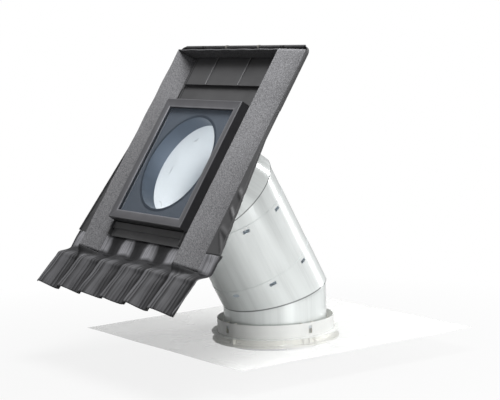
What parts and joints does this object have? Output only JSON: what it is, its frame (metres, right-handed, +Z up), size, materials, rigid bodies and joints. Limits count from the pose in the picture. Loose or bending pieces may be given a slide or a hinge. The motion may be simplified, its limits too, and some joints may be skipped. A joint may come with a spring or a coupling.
{
  "type": "tubular skylight",
  "caption": "Tubular skylight for a pitched roof: dark glazed roof unit with pleated apron and foam strips, pale light tube with elbows, vapour sheet, white ceiling ring and clear diffuser.",
  "frame": {"origin": "on the axis of the light shaft, in the plane of the roof deck that the four fixing brackets rest on, which is the centre of their screw holes", "axes": "+X across the roof, +Y up the slope in plan and into the house, +Z up; the roof's outward normal is 56 degrees from +Z towards -Y"},
  "size_m": [0.933, 1.1397, 1.0046],
  "materials": {
    "flashing_metal": "matt dark grey coat on sheet aluminium",
    "clip_steel": "plain zinc coat",
    "foam_grey": "open-cell foam with fine pores",
    "curb_plastic": "plain moulded surface",
    "deck_coat": "matt blue-grey coat",
    "collar_bright": "bright sheet, finely brushed",
    "seal_rubber": "plain",
    "roof_glass": "sealed pane with a blue-grey reflection",
    "cladding_metal": "satin dark grey coat",
    "shaft_metal": "pale bright sheet, mirror-like inside",
    "vapour_film": "thin milky film",
    "vapour_upstand": "semi-clear moulding",
    "ceiling_plastic": "ivory white",
    "diffuser_clear": "clear with a faint cool tint"
  },
  "bodies": {
    "root": {"side_flashing_left": "flashing_metal", "side_flashing_right": "flashing_metal", "head_flashing": "flashing_metal", "sill_flashing": "flashing_metal", "apron": "flashing_metal", "head_clips": "clip_steel", "clamp_screws": "clip_steel", "fixing_brackets": "clip_steel", "foam_strip_left": "foam_grey", "foam_strip_right": "foam_grey", "foam_strip_top": "foam_grey", "curb": "curb_plastic", "clamp_dogs": "curb_plastic", "inner_deck": "deck_coat", "light_collar": "collar_bright", "adapter_ring": "collar_bright", "glass_gasket": "seal_rubber", "diffuser_seal": "seal_rubber", "glass_pane": "roof_glass", "cladding_right": "cladding_metal", "cladding_top": "cladding_metal", "cladding_left": "cladding_metal", "cladding_bottom": "cladding_metal", "upper_elbow_inlet": "shaft_metal", "upper_elbow_outlet": "shaft_metal", "straight_tube": "shaft_metal", "lower_elbow_inlet": "shaft_metal", "lower_elbow_outlet": "shaft_metal", "vapour_sheet": "vapour_film", "vapour_collar": "vapour_upstand", "ceiling_ring": "ceiling_plastic", "diffuser_lower_lens": "diffuser_clear", "diffuser_upper_lens": "diffuser_clear"}
  },
  "joints": []
}
